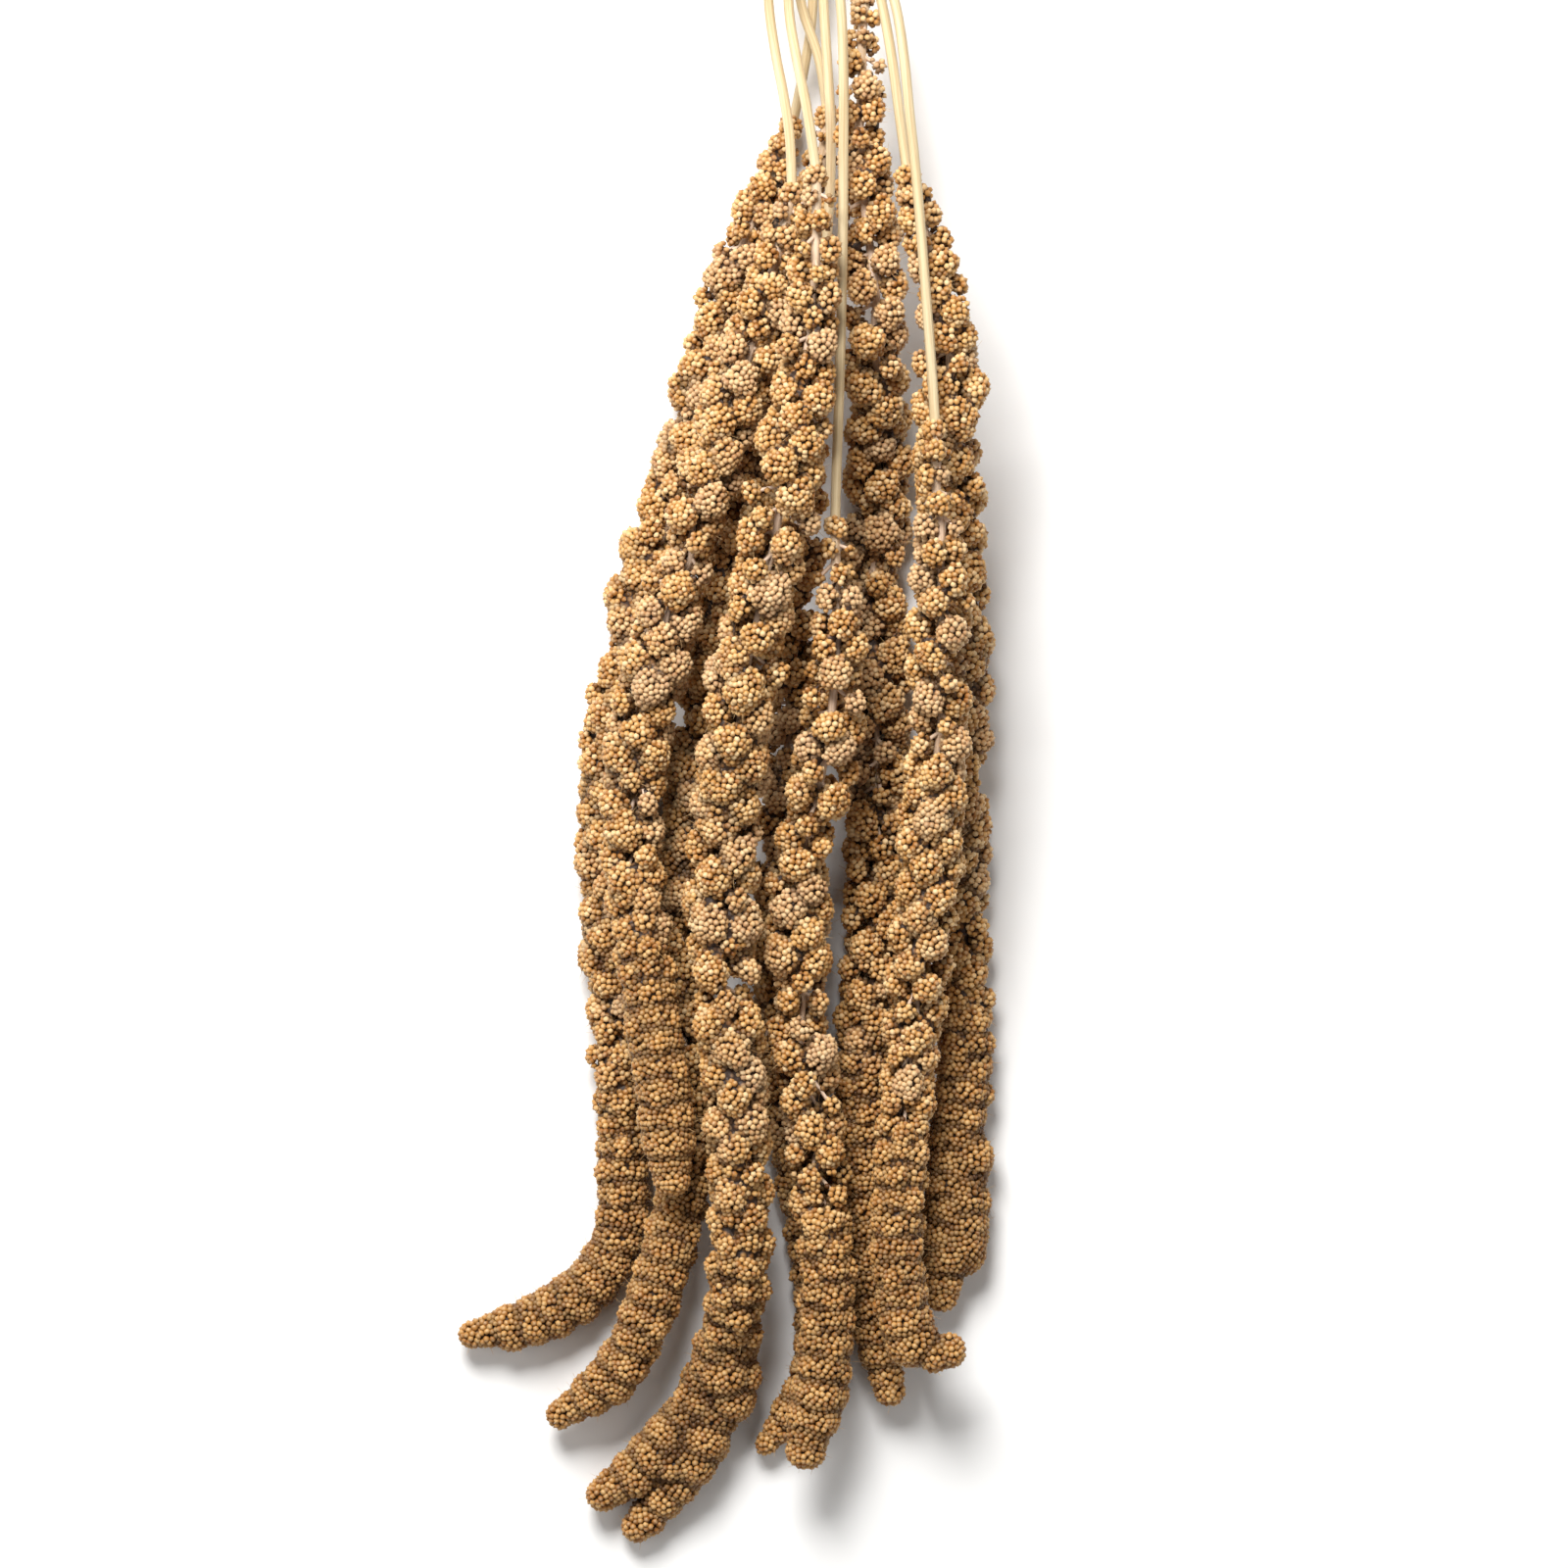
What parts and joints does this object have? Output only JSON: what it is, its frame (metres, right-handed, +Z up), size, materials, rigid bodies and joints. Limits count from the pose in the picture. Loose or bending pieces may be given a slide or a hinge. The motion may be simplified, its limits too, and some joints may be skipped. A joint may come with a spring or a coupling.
{
  "type": "bunch of millet seed heads",
  "caption": "Bunch of long dried foxtail millet heads on straw stems, tied with cord and lying down; each head is a tapering core covered with knobbly clusters of seed.",
  "frame": {"origin": "on the table, under the middle of the bunch's bounding box", "axes": "+Y along the bunch towards the cut ends of the stems, +Z up from the table, +X to the right of the bunch as seen from above"},
  "size_m": [0.1378, 0.5068, 0.0609],
  "materials": {
    "seeds": "matte seed husks",
    "straw": "dry straw with a dull sheen",
    "cord": "plain twisted plant fibre"
  },
  "bodies": {
    "root": {"head_left_back": "seeds", "head_back_left": "seeds", "head_back_middle": "seeds", "head_middle_right": "seeds", "head_right_back": "seeds", "head_left_front": "seeds", "head_middle_front": "seeds", "head_right_front": "seeds", "head_front_long": "seeds", "stem_left_back": "straw", "stem_back_left": "straw", "stem_back_middle": "straw", "stem_middle_right": "straw", "stem_right_back": "straw", "stem_left_front": "straw", "stem_middle_front": "straw", "stem_right_front": "straw", "stem_front_long": "straw", "tie": "cord"}
  },
  "joints": []
}
